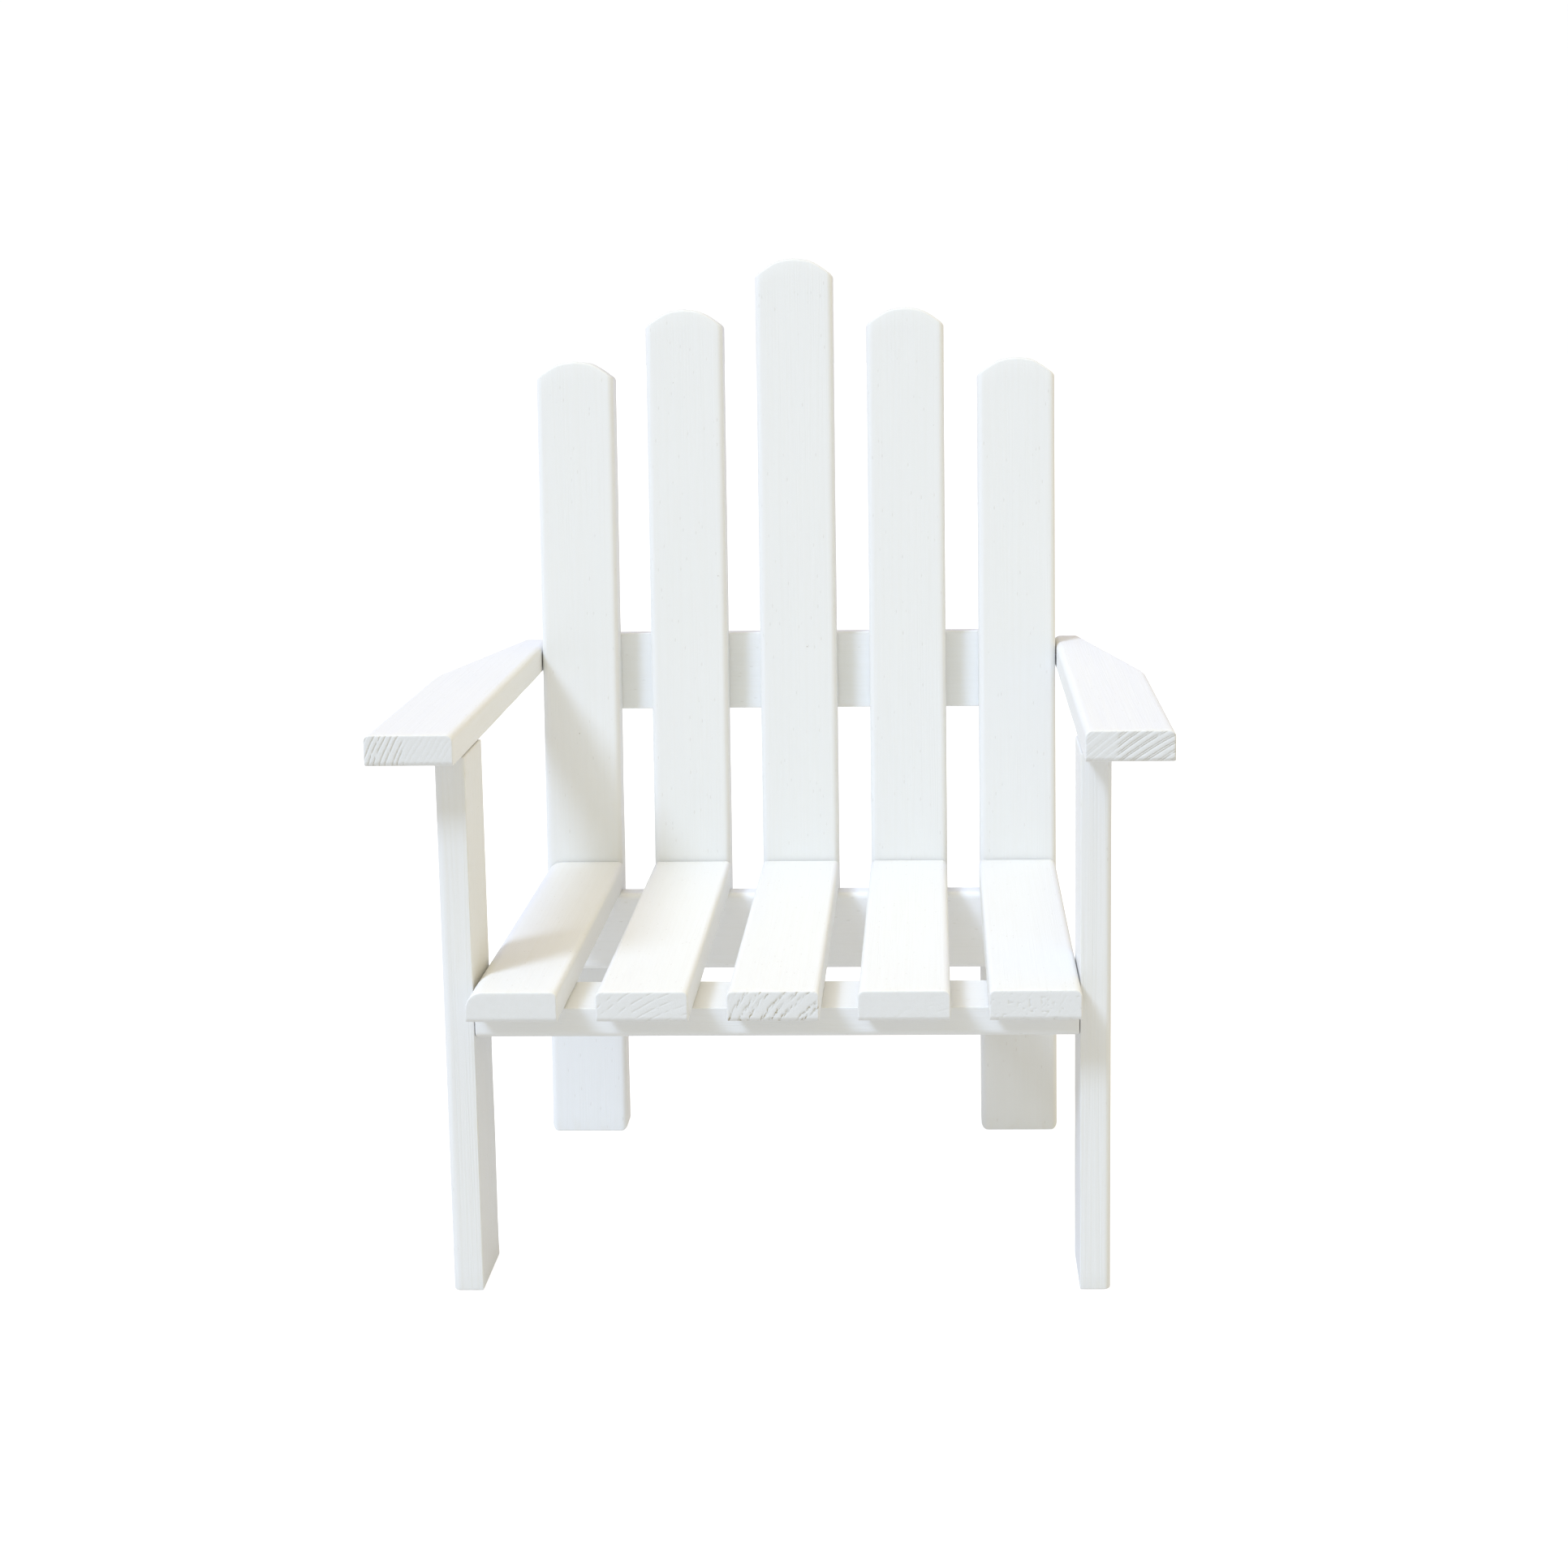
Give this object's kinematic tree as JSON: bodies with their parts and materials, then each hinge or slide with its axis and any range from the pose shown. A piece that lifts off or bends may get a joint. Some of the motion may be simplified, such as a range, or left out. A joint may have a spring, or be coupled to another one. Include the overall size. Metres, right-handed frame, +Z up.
{
  "type": "adirondack chair",
  "caption": "Child's wooden adirondack chair with a slatted seat, a round-topped slatted back, flat tapered arms and outer back slats that run down as the rear legs.",
  "frame": {"origin": "on the floor under the middle of the chair's bounding box", "axes": "+Z up, -Y the way the chair faces, +X to the right as seen from the front"},
  "size_m": [0.493, 0.3756, 0.6521],
  "materials": {
    "painted_board": "satin white paint over softwood, faint grain",
    "screw_zinc": "zinc plated",
    "dowel_wood": "bare hardwood"
  },
  "bodies": {
    "root": {"arm_dowel_left_front": "dowel_wood", "arm_dowel_left_rear": "dowel_wood", "arm_dowel_right_front": "dowel_wood", "arm_dowel_right_rear": "dowel_wood", "arm_screw_left_front": "screw_zinc", "arm_screw_left_rear": "screw_zinc", "arm_screw_right_front": "screw_zinc", "arm_screw_right_rear": "screw_zinc", "armrest_left": "painted_board", "armrest_right": "painted_board", "back_screw_1_lower": "screw_zinc", "back_screw_1_upper": "screw_zinc", "back_screw_2_lower": "screw_zinc", "back_screw_2_upper": "screw_zinc", "back_screw_3_lower": "screw_zinc", "back_screw_3_upper": "screw_zinc", "back_screw_4_lower": "screw_zinc", "back_screw_4_upper": "screw_zinc", "back_screw_5_lower": "screw_zinc", "back_screw_5_upper": "screw_zinc", "back_slat_2": "painted_board", "back_slat_4": "painted_board", "back_slat_centre": "painted_board", "back_slat_left_leg": "painted_board", "back_slat_right_leg": "painted_board", "front_leg_left": "painted_board", "front_leg_right": "painted_board", "front_rail": "painted_board", "leg_screw_left_front": "screw_zinc", "leg_screw_left_rear": "screw_zinc", "leg_screw_right_front": "screw_zinc", "leg_screw_right_rear": "screw_zinc", "rail_screw_1_lower": "screw_zinc", "rail_screw_1_upper": "screw_zinc", "rail_screw_2_lower": "screw_zinc", "rail_screw_2_upper": "screw_zinc", "rail_screw_3_lower": "screw_zinc", "rail_screw_3_upper": "screw_zinc", "rail_screw_4_lower": "screw_zinc", "rail_screw_4_upper": "screw_zinc", "rail_screw_5_lower": "screw_zinc", "rail_screw_5_upper": "screw_zinc", "rear_seat_rail": "painted_board", "seat_dowel_1": "dowel_wood", "seat_dowel_2": "dowel_wood", "seat_dowel_3": "dowel_wood", "seat_dowel_4": "dowel_wood", "seat_dowel_5": "dowel_wood", "seat_screw_1": "screw_zinc", "seat_screw_2": "screw_zinc", "seat_screw_3": "screw_zinc", "seat_screw_4": "screw_zinc", "seat_screw_5": "screw_zinc", "seat_slat_1": "painted_board", "seat_slat_2": "painted_board", "seat_slat_3": "painted_board", "seat_slat_4": "painted_board", "seat_slat_5": "painted_board", "upper_back_rail": "painted_board"}
  },
  "joints": []
}
